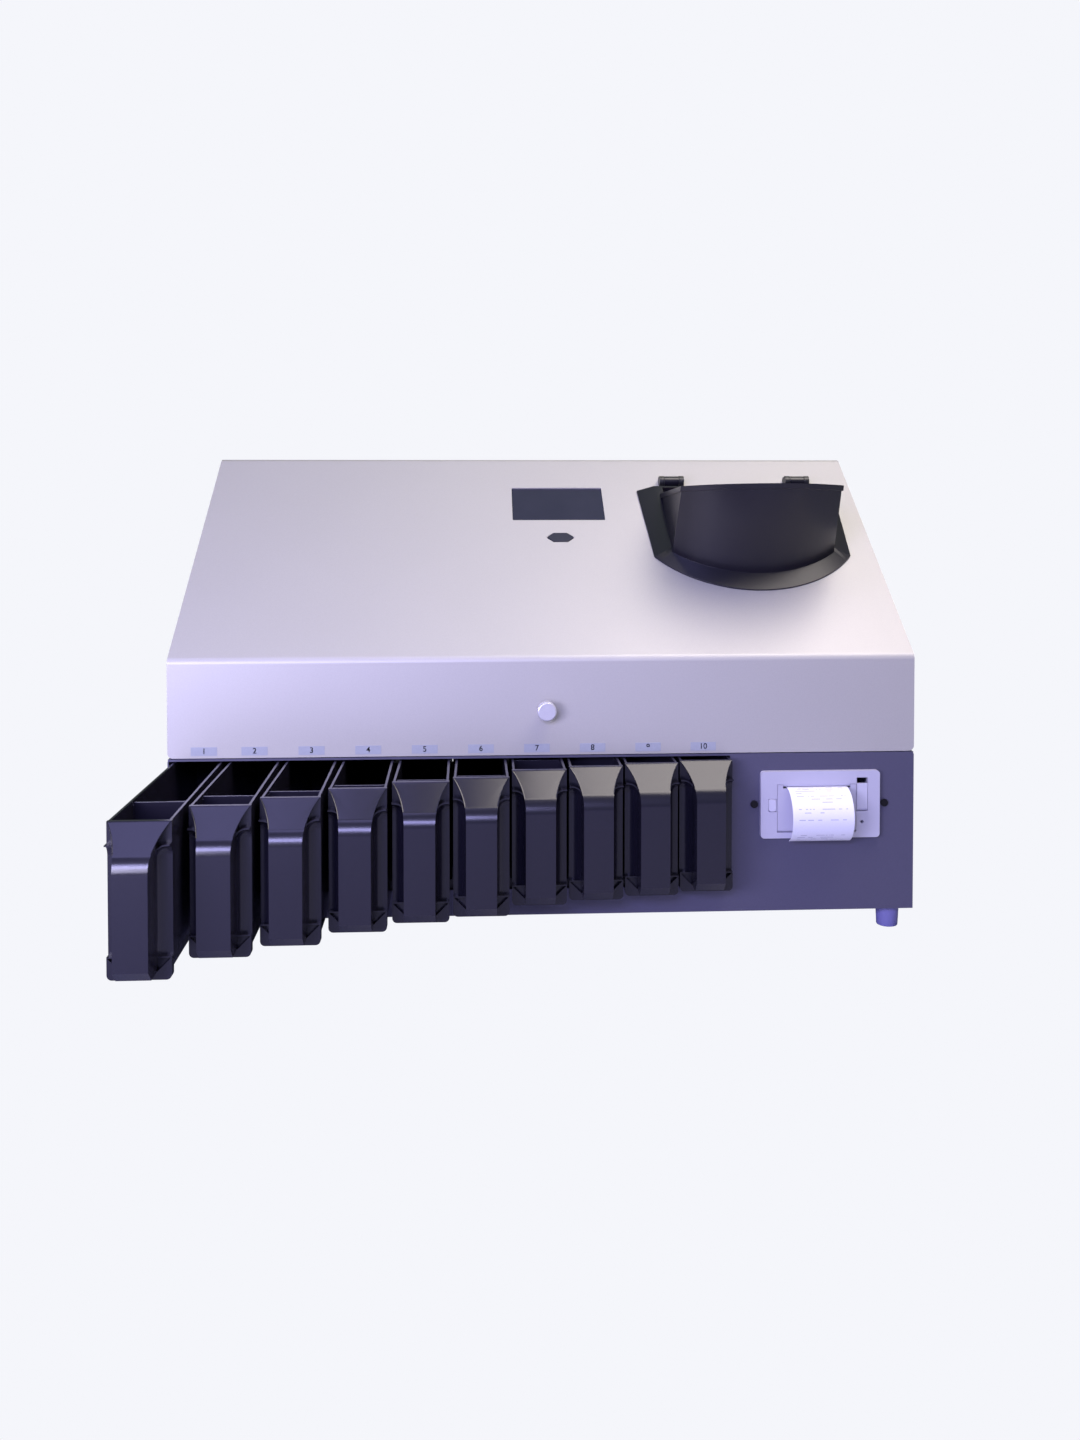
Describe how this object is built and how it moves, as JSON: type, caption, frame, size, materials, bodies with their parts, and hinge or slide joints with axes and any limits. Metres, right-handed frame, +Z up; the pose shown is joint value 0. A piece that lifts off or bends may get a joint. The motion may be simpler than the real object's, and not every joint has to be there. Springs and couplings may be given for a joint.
{
  "type": "coin sorting machine",
  "caption": "Counter-top coin sorter with a sloping hinged cover, a feed hopper, a row of pull-out coin drawers and a receipt printer in the front panel.",
  "frame": {"origin": "on the floor, below the middle of the machine's box as it stands with its drawers part open", "axes": "+X to the right along the row of drawers, +Y from the drawers to the back, +Z up"},
  "size_m": [0.7, 0.5742, 0.4534],
  "materials": {
    "base_paint": "satin powder coat",
    "cover_paint": "fine textured powder coat",
    "black_plastic": "satin moulded",
    "printer_plastic": "satin moulded",
    "foot_plastic": "matte",
    "key_plastic": "gloss",
    "display_glass": "polished",
    "label_film": "satin film",
    "paper": "uncoated",
    "sheet_steel": "zinc plated",
    "screw_steel": "black",
    "board": "circuit board",
    "motor_can": "black painted",
    "supply_case": "plain",
    "belt_rubber": "matte",
    "pulley_plastic": "satin",
    "disc_plastic": "satin",
    "dark_moulding": "satin",
    "inlet_plastic": "satin",
    "rail_steel": "ground"
  },
  "bodies": {
    "chassis": {"base_pan": "base_paint", "front_panel": "base_paint", "rear_panel": "base_paint", "drawer_tray": "sheet_steel", "feet": "foot_plastic", "sorting_deck": "sheet_steel", "deck_sides": "sheet_steel", "coin_rail": "rail_steel", "coin_ring": "dark_moulding", "coin_chutes": "dark_moulding", "belt_bracket": "sheet_steel", "drive_belt": "belt_rubber", "belt_motor": "motor_can", "disc_motor": "motor_can", "power_supply": "supply_case", "control_board": "board", "power_inlet": "inlet_plastic", "printer_body": "printer_plastic", "printer_fascia": "printer_plastic", "panel_screws": "screw_steel", "hinge_fixed_leaves": "sheet_steel"},
    "lid": {"cover_shell": "cover_paint", "pull_knob": "rail_steel", "display_window": "display_glass", "display_module": "board", "key_switch": "dark_moulding", "channel_labels": "label_film", "hopper_hinge_blocks": "black_plastic", "hinge_moving_leaves": "sheet_steel"},
    "menu_key": {"menu_key": "key_plastic"},
    "hopper": {"feed_hopper": "black_plastic"},
    "feed_disc": {"feed_disc": "disc_plastic"},
    "drive_pulley": {"drive_pulley": "pulley_plastic"},
    "idler_pulley": {"idler_pulley": "pulley_plastic"},
    "paper_door": {"printer_door": "printer_plastic", "receipt_paper": "paper"},
    "release_lever": {"release_lever": "printer_plastic"},
    "feed_button": {"feed_button": "printer_plastic"},
    "paper_roll": {"paper_roll": "paper"},
    "power_switch": {"power_switch": "inlet_plastic"},
    "drawer_01": {"coin_drawer_01": "black_plastic", "drawer_divider_01": "black_plastic"},
    "drawer_02": {"coin_drawer_02": "black_plastic", "drawer_divider_02": "black_plastic"},
    "drawer_03": {"coin_drawer_03": "black_plastic", "drawer_divider_03": "black_plastic"},
    "drawer_04": {"coin_drawer_04": "black_plastic", "drawer_divider_04": "black_plastic"},
    "drawer_05": {"coin_drawer_05": "black_plastic", "drawer_divider_05": "black_plastic"},
    "drawer_06": {"coin_drawer_06": "black_plastic", "drawer_divider_06": "black_plastic"},
    "drawer_07": {"coin_drawer_07": "black_plastic", "drawer_divider_07": "black_plastic"},
    "drawer_08": {"coin_drawer_08": "black_plastic", "drawer_divider_08": "black_plastic"},
    "drawer_09": {"coin_drawer_09": "black_plastic", "drawer_divider_09": "black_plastic"},
    "drawer_10": {"coin_drawer_10": "black_plastic", "drawer_divider_10": "black_plastic"}
  },
  "joints": [
    {"name": "lid_hinge", "type": "hinge", "parent": "chassis", "child": "lid", "pos_m": [0, 0.2841, 0.1724], "axis": [-1, 0, 0], "range_deg": [0, 60]},
    {"name": "hopper_hinge", "type": "hinge", "parent": "lid", "child": "hopper", "pos_m": [0.2205, 0.15442, 0.42916], "axis": [-1, 0, 0], "range_deg": [0, 80]},
    {"name": "menu_key_press", "type": "slide", "parent": "lid", "child": "menu_key", "axis": [0, 0.5952, -0.8036], "range_m": [0, 0.0012], "stiffness_N_per_m": 400},
    {"name": "feed_disc_spin", "type": "hinge", "parent": "chassis", "child": "feed_disc", "pos_m": [0.2205, 0.11382, 0.34956], "axis": [0, -0.5952, 0.8036], "continuous": true},
    {"name": "drive_pulley_spin", "type": "hinge", "parent": "chassis", "child": "drive_pulley", "pos_m": [-0.32855, 0.05144, 0.31954], "axis": [0, 0.8036, 0.5952], "continuous": true},
    {"name": "idler_pulley_spin", "type": "hinge", "parent": "chassis", "child": "idler_pulley", "pos_m": [0.1605, 0.05144, 0.31954], "axis": [0, 0.8036, 0.5952], "continuous": true},
    {"name": "paper_door_hinge", "type": "hinge", "parent": "chassis", "child": "paper_door", "pos_m": [0.2555, -0.0615, 0.10015], "axis": [1, 0, 0], "range_deg": [0, 60]},
    {"name": "release_lever_hinge", "type": "hinge", "parent": "chassis", "child": "release_lever", "pos_m": [0.2989, -0.0615, 0.11965], "axis": [1, 0, 0], "range_deg": [0, 15], "stiffness_Nm_per_rad": 0.05},
    {"name": "feed_button_press", "type": "slide", "parent": "chassis", "child": "feed_button", "axis": [0, 1, 0], "range_m": [0, 0.0008], "stiffness_N_per_m": 300},
    {"name": "paper_roll_spin", "type": "hinge", "parent": "chassis", "child": "paper_roll", "pos_m": [0.2555, -0.0291, 0.1198], "axis": [1, 0, 0], "continuous": true},
    {"name": "power_switch_rock", "type": "hinge", "parent": "chassis", "child": "power_switch", "pos_m": [0.245, 0.2824, 0.064], "axis": [1, 0, 0], "range_deg": [-6, 6]},
    {"name": "drawer_01_slide", "type": "slide", "parent": "chassis", "child": "drawer_01", "axis": [0, -1, 0], "range_m": [-0.2, 0.04]},
    {"name": "drawer_02_slide", "type": "slide", "parent": "chassis", "child": "drawer_02", "axis": [0, -1, 0], "range_m": [-0.157, 0.083]},
    {"name": "drawer_03_slide", "type": "slide", "parent": "chassis", "child": "drawer_03", "axis": [0, -1, 0], "range_m": [-0.134, 0.106]},
    {"name": "drawer_04_slide", "type": "slide", "parent": "chassis", "child": "drawer_04", "axis": [0, -1, 0], "range_m": [-0.106, 0.134]},
    {"name": "drawer_05_slide", "type": "slide", "parent": "chassis", "child": "drawer_05", "axis": [0, -1, 0], "range_m": [-0.0855, 0.1545]},
    {"name": "drawer_06_slide", "type": "slide", "parent": "chassis", "child": "drawer_06", "axis": [0, -1, 0], "range_m": [-0.0725, 0.1675]},
    {"name": "drawer_07_slide", "type": "slide", "parent": "chassis", "child": "drawer_07", "axis": [0, -1, 0], "range_m": [-0.0455, 0.1945]},
    {"name": "drawer_08_slide", "type": "slide", "parent": "chassis", "child": "drawer_08", "axis": [0, -1, 0], "range_m": [-0.034, 0.206]},
    {"name": "drawer_09_slide", "type": "slide", "parent": "chassis", "child": "drawer_09", "axis": [0, -1, 0], "range_m": [-0.0245, 0.2155]},
    {"name": "drawer_10_slide", "type": "slide", "parent": "chassis", "child": "drawer_10", "axis": [0, -1, 0], "range_m": [-0.015, 0.225]}
  ],
  "couplings": [
    {"joint": "idler_pulley_spin", "follows": "drive_pulley_spin", "ratio": 1}
  ]
}
